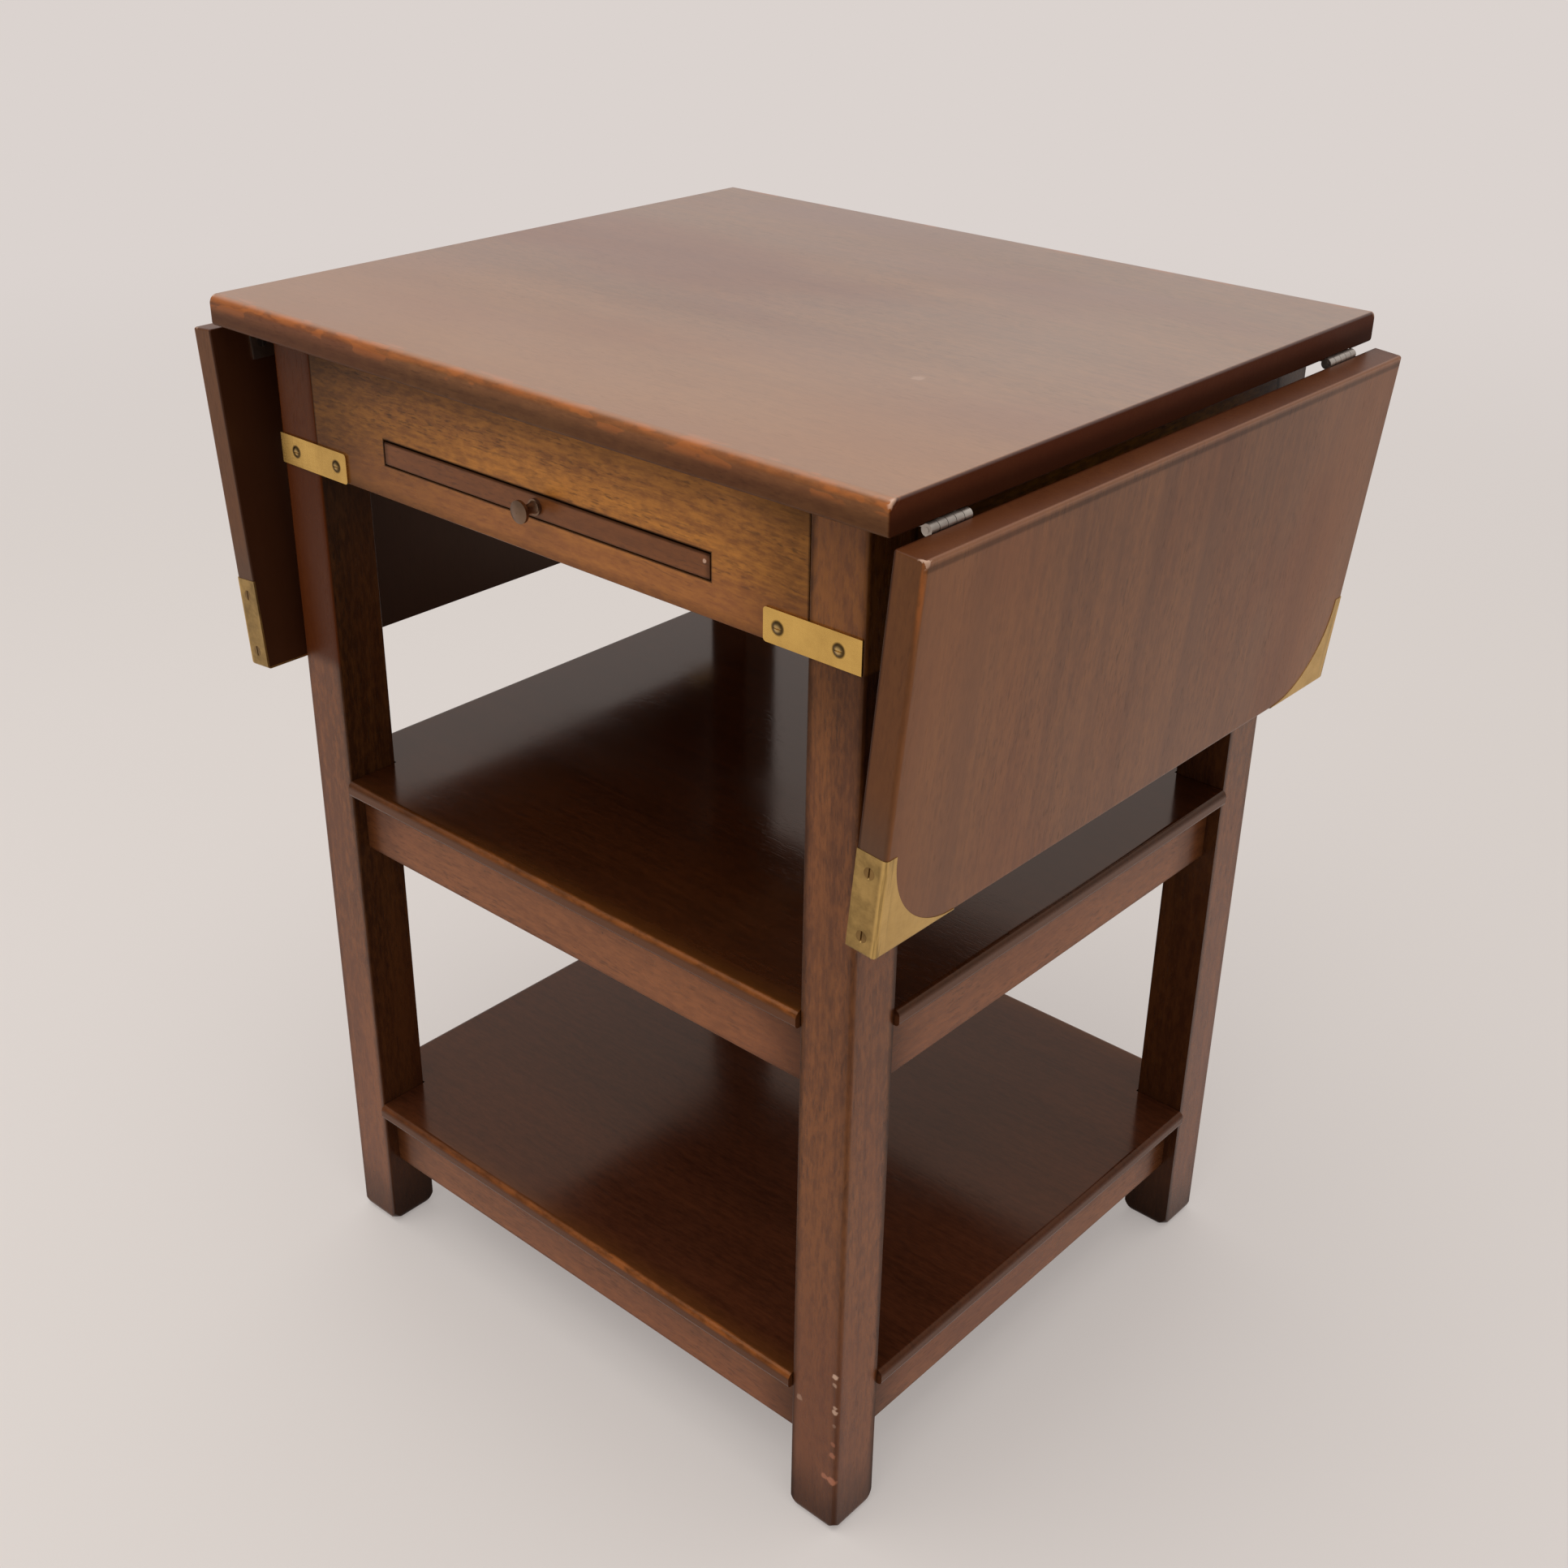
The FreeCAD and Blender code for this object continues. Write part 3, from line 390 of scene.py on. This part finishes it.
def dress_top():
    """Top: pale sheen with a painted reflection toward the right and back, reddish patches, dark red ends,
    worn front and back edges.
    """
    board = Board("table_top", grain_turns["x"], top_light, top_dark, figure=1.2, pores=0.6)
    graph = board.graph
    depth = board.under(board.through, board.half.z)
    edge = board.inside(board.across, board.half.y)
    end = board.inside(board.along, board.half.x)
    board.patches((4.0, 10.0, 10.0), red_brown, 0.55)
    sheen = graph.step(depth, 0.0002, 0.002, 1.0, 0.0)
    front = graph.step(board.over(board.across, board.half.y), 0.0, 0.22, 1.0, 0.0)
    board.tint(graph.math("MULTIPLY", front, sheen), top_pale, 0.5)
    # Paler, greyer top face toward the right and back: a painted reflection of the pale surroundings.
    painted_reflection = graph.math("MAXIMUM", graph.step(board.along, -0.05, 0.2),
                       graph.step(board.across, 0.0, 0.2, 0.0, 0.6))
    painted_reflection = graph.math("MULTIPLY", painted_reflection, graph.math("SUBTRACT", 1.0, front))
    board.tint(graph.math("MULTIPLY", painted_reflection, sheen), top_painted_reflection, 0.15)
    end_face = graph.step(end, *top_end_skin, 1.0, 0.0)
    board.tint(end_face, top_end, 0.9)
    board.dull(end_face, 0.9)
    board.darken(graph.step(depth, 0.003, 0.012), 0.6)
    arris = graph.math("ADD", edge, depth)
    board.wear(arris, 0.85 * top_round, 0.55)
    board.chips(arris, 0.009, (45.0, 130.0, 130.0), 0.54, worn_polish, 0.4)
    board.spot((0.1405, -0.0678, board.half.z), 0.004, bare_chip, 0.25)
    corner = graph.math("ADD", arris, end)
    board.chips(corner, 0.006, (260.0, 260.0, 260.0), 0.52, bare_chip, 0.7)
    board.specks(0.25)
    board.finish(0.42, coat=sheen, ior=1.42)


def dress_leaf(side):
    """Leaf: streaked face, dark ends with painted shade on their lower part, worn along the outer arris near
    the hinges; painted shade on the inner face, and a painted highlight on the joint arris with a painted
    shade line below it.
    """
    board = Board("leaf_" + side, leaf_turns[side], leaf_light, leaf_dark, figure=1.2, pores=0.7)
    graph = board.graph
    end = board.inside(board.across, board.half.y)
    depth = board.under(board.through, board.half.z)
    down = board.over(board.along, board.half.x)
    board.patches((6.0, 11.0, 11.0), red_brown, 0.35)
    board.patches((1.5, 40.0, 40.0), leaf_dark, 0.5)
    board.tint(board.near(end, 0.12), leaf_warm, 0.3)
    board.darken(board.near(end, 0.012), 0.2)
    end_face = graph.step(end, *leaf_end_skin, 1.0, 0.0)
    board.darken(end_face, 0.4)
    # Greyer lower part of the end faces: painted shade.
    board.tint(graph.math("MULTIPLY", end_face, graph.step(down, *leaf_end_shade_reach)), leaf_end_shade, 0.45)
    # Inner face darker and redder: painted shade.
    inner = graph.step(depth, 2 * board.half.z - 0.002, 2 * board.half.z - 0.0005)
    board.tint(inner, leaf_inner_shade, 0.9)
    board.darken(inner, 0.35)
    upper = graph.math("MULTIPLY", graph.step(down, 0.02, 0.13, 1.0, 0.0), graph.step(end, 0.05, 0.12))
    board.darken(upper, 0.14)
    upper_edge = graph.step(down, *leaf_edge_skin, 1.0, 0.0)
    board.darken(upper_edge, 0.45)
    board.tint(upper_edge, leaf_edge, 0.5)
    joint = graph.math("ADD", down, depth)
    # Pale line on the joint arris: a painted highlight.
    board.tint(graph.step(joint, 0.0012, 0.0022, 1.0, 0.0), leaf_joint_highlight, 0.3)
    # Dark line on the face just below that arris: painted shade.
    joint_shade_line = graph.math("ABSOLUTE", graph.math("SUBTRACT", joint, 0.0042))
    joint_shade_line = graph.step(joint_shade_line, 0.0006, 0.0022, 1.0, 0.0)
    board.darken(graph.math("MULTIPLY", joint_shade_line, graph.step(depth, 0.0003, 0.001, 1.0, 0.0)), 0.55)
    arris = graph.math("ADD", end, depth)
    lower = graph.step(down, 0.0, 0.11, 0.0, leaf_round)
    board.wear(graph.math("ADD", arris, lower), leaf_round, 0.6)
    corner = graph.math("ADD", arris, down)
    board.chips(corner, 0.006, (300.0, 300.0, 300.0), 0.5, bare_chip, 0.7)
    board.specks(0.3)
    board.finish(0.33)


def dress_shelf(name, light, dark, ior):
    """Shelf: very dark and glossy, with brown edges; front and back are rubbed, mostly toward the right."""
    board = Board(name, grain_turns["x"], light, dark, figure=1.2, pores=0.4)
    graph = board.graph
    depth = board.under(board.through, board.half.z)
    edge = board.inside(board.across, board.half.y)
    glow = graph.step(board.along, *shelf_rub_reach, 0.06, 0.3)
    rubbed = graph.step(board.along, *shelf_rub_reach, 0.15, 0.5)
    board.tint(board.near(edge, 0.018), shelf_glow, glow)
    board.tint(graph.step(depth, 0.002, 0.005), shelf_edge, 0.9)
    board.wear(graph.math("ADD", edge, depth), 0.85 * shelf_round, rubbed)
    board.specks(0.4)
    board.finish(0.14, ior=ior, warmth=shelf_warmth)


def dress_slide():
    """Slide: redder than the apron, plain, with painted shade on its ends, along its top and bottom and just
    behind its front, inside the slot.
    """
    board = Board("slide_board", grain_turns["x"], slide_light, slide_dark, figure=1.0, pores=0.7)
    graph = board.graph
    end = board.inside(board.along, board.half.x)
    upper = board.inside(board.through, board.half.z)
    behind = board.over(board.across, board.half.y)
    # Painted shade of the slot: the ends, the arrises along top and bottom, and the faces just behind the
    # front.
    board.darken(board.near(end, 0.004), 0.6)
    board.darken(graph.step(upper, 0.0003, 0.0016, 1.0, 0.0), 0.75)
    shallow = graph.step(behind, 0.004, 0.012, 1.0, 0.0)
    board.darken(graph.math("MULTIPLY", graph.step(behind, 0.0003, 0.001), shallow), 0.95)
    board.specks(0.8)
    board.spot((0.1169, -board.half.y, 0.0025), 0.0014, bare_chip, 0.8)
    board.finish(0.3)


def dress_leg(corner, side_x, side_y):
    """Leg: golden beside the apron, dark at the foot, dark below the apron with antique shading and painted
    shade.

    Painted shade darkens its inner faces and arrises, the right legs' fronts, the side behind the hanging
    leaf and, redder, the left legs' fronts above the leaf's lower edge.
    """
    board = Board("leg_" + corner, grain_turns["z"], leg_light, leg_dark, figure=2.3, pores=1.0)
    graph = board.graph
    height = graph.math("ADD", board.along, board.middle.z)
    outer_x = board.over(graph.math("MULTIPLY", board.through, side_x), board.half.z)
    outer_y = board.under(graph.math("MULTIPLY", board.across, side_y), board.half.y)
    inner_x = graph.math("SUBTRACT", 2 * board.half.z, outer_x)
    inner_y = graph.math("SUBTRACT", 2 * board.half.y, outer_y)
    beside_apron = graph.step(height, apron_bottom - 0.001, apron_bottom + 0.001)
    below_apron = graph.step(height, apron_bottom - 0.07, apron_bottom)
    below_apron = graph.math("SUBTRACT", below_apron, beside_apron, clamp=True)
    board.patches((4.0, 20.0, 20.0), red_brown, 0.3)
    board.tint(graph.step(height, *leg_redden, 1.0, 0.0), red_brown, 0.5)
    mottled = graph.step(graph.noise(board.place, (110.0, 340.0, 340.0), 3.0, 0.65), 0.35, 0.65, 0.2, 1.0)
    board.tint(graph.math("MULTIPLY", beside_apron, mottled), apron_mottle, 0.7)
    # Darker just below the apron: antique shading, partly painted shade.
    board.darken(below_apron, 0.5)
    # Inner faces and the arrises next to them darker: painted shade between the legs.
    inner = graph.math("MINIMUM", inner_x, inner_y)
    board.darken(board.near(inner, 0.005), 0.8)
    outer = graph.math("ADD", outer_x, outer_y)
    board.darken(board.near(outer, 3 * leg_round), 0.4)
    # Outer side face behind the hanging leaf darker: painted shadow of the leaf.
    leaf_shadow_behind = graph.math("MULTIPLY", board.on_face(outer_x), graph.step(height, *leaf_shade))
    board.darken(leaf_shadow_behind, 0.5)
    face = board.on_face(outer_y)
    if side_x > 0:
        # Painted shade on the right legs' front faces, which get less light than their side faces.
        board.darken(face, 0.18)
    else:
        # Painted shade from the hanging leaf: redder and darker on the left legs' front faces above its lower
        # edge.
        leaf_shadowed = graph.math("MULTIPLY", face, graph.step(height, *leaf_shadow_above))
        board.darken(leaf_shadowed, 0.9)
        board.tint(leaf_shadowed, leg_leaf_shadow, 0.6)
    board.darken(board.near(height, 0.055), 0.72)
    if corner == "front_right":
        for rise, aside, radius, tone, amount in leg_chips:
            board.spot((rise - board.middle.z, -board.half.y, aside), radius, tone, amount)
    board.specks(0.7)
    board.finish(0.25, ior=1.53)


def dress_apron(place, axis, half_length):
    """Apron: golden in the middle, dark toward its ends and top, reddish along the bottom; painted shade
    toward one end, under the top and round the slot.
    """
    board = Board("apron_" + place, grain_turns[axis], apron_light, apron_dark, figure=1.9, pores=1.0)
    graph = board.graph
    end = board.inside(board.along, half_length)
    upper = board.under(board.through, board.half.z)
    lower = board.over(board.through, board.half.z)
    board.tint(graph.step(lower, 0.012, 0.034, 1.0, 0.0), rail_light, 0.55)
    # Darker toward the negative end of its length: painted shade, as the light falls off toward that end.
    board.darken(graph.step(board.along, -0.17, 0.0, 1.0, 0.0), 0.48)
    board.darken(board.near(end, 0.06), 0.5)
    # Dark along the top: antique shading, partly painted shadow under the top's overhang.
    board.darken(board.near(upper, 0.032), 0.55)
    board.darken(board.near(lower, 0.008), 0.4)
    board.darken(graph.step(end, 0.0004, 0.0012, 1.0, 0.0), 0.7)
    if place == "front":
        height = graph.math("ADD", board.through, board.middle.z)
        above = graph.math("ABSOLUTE", graph.math("SUBTRACT", height, slot_middle))
        above = graph.math("SUBTRACT", above, slot_half_height)
        aside = graph.math("SUBTRACT", graph.math("ABSOLUTE", board.along), slot_half_width)
        round_slot = graph.math("MAXIMUM", above, aside)
        # Dark rim round the slide's slot: painted shade of the gap.
        board.darken(graph.step(round_slot, 0.0002, 0.001, 1.0, 0.0), 0.95)
    board.specks(0.8)
    board.finish(0.3)


def dress_rail(name, axis, half_length):
    """Rail under a shelf: reddish brown, dark at its ends, with painted shadow under the shelf."""
    board = Board(name, grain_turns[axis], rail_light, rail_dark, figure=1.5, pores=0.8)
    end = board.inside(board.along, half_length)
    upper = board.under(board.through, board.half.z)
    lower = board.over(board.through, board.half.z)
    board.patches((6.0, 14.0, 14.0), red_brown, 0.4)
    board.darken(board.near(end, 0.045), 0.65)
    # Painted shadow under the shelf along its top.
    board.darken(board.near(upper, 0.010), 0.5)
    board.darken(board.near(lower, 0.003), 0.35)
    board.specks(0.6)
    board.finish(0.28)


def dress_wood():
    """All the mahogany."""
    dress_top()
    dress_leaf("left")
    dress_leaf("right")
    dress_shelf("middle_shelf", shelf_light, shelf_dark, 1.48)
    dress_shelf("lower_shelf", low_shelf_light, low_shelf_dark, 1.4)
    dress_slide()
    for corner, (side_x, side_y) in corners.items():
        dress_leg(corner, side_x, side_y)
    for place in ("front", "back"):
        dress_apron(place, "x", leg_inside_x)
    for side in sides:
        dress_apron(side, "y", leg_inside_y)
    for level in ("middle_rail_", "lower_rail_"):
        for place in ("front", "back"):
            dress_rail(level + place, "x", leg_inside_x)
        for side in sides:
            dress_rail(level + side, "y", leg_inside_y)


def bracket_grime(graph, side):
    """Share of grime on a leaf's brackets: streaks beside the fold, and stains all over the end flange."""
    middle, half = board_box("leaf_" + side, leaf_turns[side])
    place = board_place(graph, middle, leaf_turns[side])
    across, through = graph.split(place)[1:]
    end = graph.math("SUBTRACT", half.y, graph.math("ABSOLUTE", across))
    depth = graph.math("SUBTRACT", half.z, through)
    beside_fold = graph.step(graph.math("ADD", end, depth), 0.003, 0.009, 1.0, 0.0)
    streaks = graph.step(graph.noise(place, (25.0, 420.0, 420.0), 3.0), 0.48, 0.62, 0.0, 0.4)
    stains = graph.step(graph.noise(place, (70.0, 70.0, 70.0), 4.0, 0.65), 0.35, 0.65, 0.28, 0.58)
    flange = graph.math("MULTIPLY", graph.step(depth, 0.0012, 0.003), stains)
    return graph.math("MAXIMUM", graph.math("MULTIPLY", beside_fold, streaks), flange)


def strap_screw_distance(graph):
    """Distance from the axis of the nearest strap screw."""
    place = graph.split(graph.node("ShaderNodeTexCoord").outputs["Object"])
    right = graph.math("ABSOLUTE", place[0])
    rise = graph.math("SUBTRACT", place[2], strap_middle)
    distances = []
    for screw in strap_screws:
        aside = graph.math("SUBTRACT", right, screw)
        offset = graph.node("ShaderNodeCombineXYZ", {0: aside, 1: rise}).outputs[0]
        away = graph.node("ShaderNodeVectorMath", {0: offset}, operation="LENGTH").outputs["Value"]
        distances.append(away)
    return graph.math("MINIMUM", distances[0], distances[1])


def strap_grime_and_shade(graph):
    """Share of grime and painted shade on the straps: a dark ring round each screw, partly painted shadow of
    its countersink.
    """
    return graph.step(strap_screw_distance(graph), 0.0031, 0.0044, 0.9, 0.0)


def strap_screw_grime_and_shade(graph):
    """Share of grime on the strap screws, partly painted shade: clean crowns, dark rims that stand in for a
    dome's shading.
    """
    return graph.step(strap_screw_distance(graph), 0.0008, 0.0027, 0.0, 0.9)


def metal(name, base, tarnish, roughness, tarnished=0.5, scratches=0.3, grime=None):
    """Worn metal: cloudy tarnish, darker specks and fine scratches, and grime from a function; on the straps
    and their screws that grime is partly painted shade.
    """
    material, graph, shader = new_material(name)
    place = graph.node("ShaderNodeTexCoord").outputs["Object"]
    cloud = graph.step(graph.noise(place, (40.0, 40.0, 40.0), 4.0, 0.6), 0.3, 0.75)
    speck = graph.step(graph.noise(place, (420.0, 420.0, 420.0), 2.0), 0.62, 0.74)
    share = graph.math("MAXIMUM", cloud, graph.math("MULTIPLY", speck, 0.7))
    share = graph.math("MULTIPLY", share, tarnished)
    tone = graph.mix(share, base, tarnish)
    if grime:
        tone = graph.mix(grime(graph), tone, grime_and_shade_brown)
    graph.feed(shader.inputs["Base Color"], tone)
    shader.inputs["Metallic"].default_value = 1.0
    brushed = graph.noise(place, (90.0, 160.0, 1500.0), 2.0)
    crossed = graph.noise(place, (1300.0, 1300.0, 60.0), 2.0)
    lines = graph.math("ADD", brushed, crossed)
    rough = graph.math("ADD", roughness, graph.math("MULTIPLY", share, 0.18))
    rough = graph.math("ADD", rough, graph.step(lines, 0.8, 1.2, -0.04, 0.05))
    graph.feed(shader.inputs["Roughness"], rough)
    bump = graph.node("ShaderNodeBump", {"Height": lines, "Strength": scratches, "Distance": 0.00005})
    graph.feed(shader.inputs["Normal"], bump.outputs[0])
    return material


def plain_wood(name, light, dark):
    """Unpolished softwood of the hidden pieces."""
    material, graph, shader = new_material(name)
    place = graph.node("ShaderNodeTexCoord").outputs["Object"]
    rings = graph.step(graph.noise(place, (60.0, 6.0, 60.0), 3.0), 0.35, 0.65)
    fibre = graph.noise(place, (700.0, 30.0, 700.0), 2.0)
    base = graph.mix(rings, light, dark)
    base = graph.mix(graph.step(fibre, 0.3, 0.7, 0.25, 0.0), base, dark)
    graph.feed(shader.inputs["Base Color"], base)
    graph.feed(shader.inputs["Roughness"], graph.step(fibre, 0.3, 0.7, 0.6, 0.75))
    bump = graph.node("ShaderNodeBump", {"Height": fibre, "Strength": 0.3, "Distance": 0.0003})
    graph.feed(shader.inputs["Normal"], bump.outputs[0])
    return material


def dress_hardware():
    """Brass, worn screws, bright hinges, steel stays and the unpolished pieces under the top."""
    brass = metal("brass", colour(222, 180, 100), colour(150, 112, 58), 0.26, tarnished=0.35,
                  scratches=0.08, grime=strap_grime_and_shade)
    bright_brass = metal("bright_brass", colour(214, 180, 118), colour(120, 90, 50), 0.3,
                         scratches=0.08, grime=strap_screw_grime_and_shade)
    screw_brass = metal("screw_brass", colour(160, 126, 76), colour(56, 42, 26), 0.3, tarnished=0.8)
    bronze = metal("bronze", colour(132, 106, 86), colour(74, 56, 45), 0.32)
    steel = metal("steel", colour(196, 186, 176), colour(110, 96, 86), 0.34)
    grey_steel = metal("grey_steel", colour(132, 126, 120), colour(80, 68, 58), 0.42)
    softwood = plain_wood("softwood", colour(176, 138, 92), colour(142, 104, 64))
    give(brass, ["corner_strap_" + corner for corner in corners])
    for side in sides:
        dull_brass = metal("dull_brass_" + side, colour(212, 175, 108), colour(148, 117, 71), 0.4,
                           tarnished=0.35, grime=functools.partial(bracket_grime, side=side))
        give(dull_brass, ["leaf_bracket_" + side + "_" + end for end in ("front", "back")])
    give(bright_brass, ["strap_screws"])
    give(screw_brass, ["leaf_bracket_screws_" + side for side in sides])
    give(bronze, ["slide_knob"])
    give(steel, ["hinge_top_plate_" + corner for corner in leaf_corners])
    give(steel, ["hinge_leaf_plate_" + corner for corner in leaf_corners] + ["hinge_pins"])
    give(grey_steel, ["stay_arm_" + corner for corner in leaf_corners] + ["stay_pins"])
    give(grey_steel, ["stay_bracket_" + corner for corner in leaf_corners])
    give(grey_steel, ["hinge_top_screws", "top_screws"] + ["leaf_sheet_screws_" + side for side in sides])
    give(softwood, ["glue_blocks", "slide_runner_left", "slide_runner_right", "slide_stop_pins"])


def add_floor():
    """Large pale floor, a little uneven in tone, that keeps the table's shadow; as seen, a share of pale glow
    paints light over that shadow near the table.
    """
    size = floor_half_side
    mesh = bpy.data.meshes.new("floor")
    square = [(-size, -size, 0.0), (size, -size, 0.0), (size, size, 0.0), (-size, size, 0.0)]
    mesh.from_pydata(square, [], [(0, 1, 2, 3)])
    floor = bpy.data.objects.new("floor", mesh)
    bpy.context.scene.collection.objects.link(floor)
    material, graph, shader = new_material("floor_paint")
    place = graph.node("ShaderNodeTexCoord").outputs["Object"]
    cloud = graph.noise(place, (0.7, 0.7, 0.7), 2.0)
    base = graph.mix(graph.step(cloud, 0.3, 0.7), floor_light, floor_dark)
    graph.feed(shader.inputs["Base Color"], base)
    graph.feed(shader.inputs["Roughness"], graph.step(cloud, 0.3, 0.7, 0.55, 0.65))
    flat = graph.vector("MULTIPLY", place, (1.0, 1.0, 0.0))
    distance = graph.node("ShaderNodeVectorMath", {0: flat}, operation="LENGTH").outputs["Value"]
    rays = graph.node("ShaderNodeLightPath").outputs
    seen = graph.math("MAXIMUM", rays["Is Camera Ray"], rays["Is Glossy Ray"])
    # Seen share of even pale glow: painted light that lifts the shadow near the table, the plain background
    # farther out.
    far = graph.math("MULTIPLY", graph.step(distance, *floor_pale_reach, *floor_glow_share), seen)
    glow = graph.node("ShaderNodeEmission", {"Color": pale_glow, "Strength": 1.0})
    both = graph.node("ShaderNodeMixShader", {0: far, 1: shader.outputs[0], 2: glow.outputs[0]})
    graph.feed(graph.output.inputs["Surface"], both.outputs[0])
    mesh.materials.append(material)


def add_world():
    """Soft room light, brightest overhead and dimmest on the front side, behind a pale background."""
    world = bpy.data.worlds.new("room")
    bpy.context.scene.world = world
    world.use_nodes = True
    graph = Graph(world.node_tree)
    direction = graph.node("ShaderNodeTexCoord").outputs["Generated"]
    back, up = graph.split(direction)[1:]
    pale = graph.mix(graph.step(up, 0.2, 0.7), room_low, room_high)
    dim = graph.step(back, -0.8, 0.3, 0.64, 1.0)
    light = graph.node("ShaderNodeBackground", {"Color": pale, "Strength": dim}).outputs[0]
    backdrop = graph.node("ShaderNodeBackground", {"Color": pale_glow}).outputs[0]
    seen = graph.node("ShaderNodeLightPath").outputs["Is Camera Ray"]
    both = graph.node("ShaderNodeMixShader", {0: seen, 1: light, 2: backdrop}).outputs[0]
    graph.node("ShaderNodeOutputWorld", {"Surface": both})


def add_lamp(name, place, aim, size, power):
    """Square soft light at a place, pointing at another."""
    data = bpy.data.lights.new(name, "AREA")
    data.shape = "SQUARE"
    data.size = size
    data.energy = power
    lamp = bpy.data.objects.new(name, data)
    lamp.location = place
    lamp.rotation_mode = "QUATERNION"
    lamp.rotation_quaternion = (Vector(aim) - Vector(place)).to_track_quat("-Z", "Y")
    bpy.context.scene.collection.objects.link(lamp)


def add_camera():
    """Camera fitted to the photograph."""
    data = bpy.data.cameras.new("camera")
    data.sensor_width = 36.0
    data.lens = data.sensor_width * focal_pixels / image_side
    data.clip_start = 0.01
    camera = bpy.data.objects.new("camera", data)
    camera.location = camera_place
    camera.rotation_euler = [math.radians(angle) for angle in camera_turn]
    bpy.context.scene.collection.objects.link(camera)
    bpy.context.scene.camera = camera


dress_wood()
dress_hardware()
add_floor()
add_world()
add_lamp("key_light", lamp_place, lamp_aim, lamp_side, lamp_power)
add_camera()
bpy.context.scene.view_settings.view_transform = "Standard"
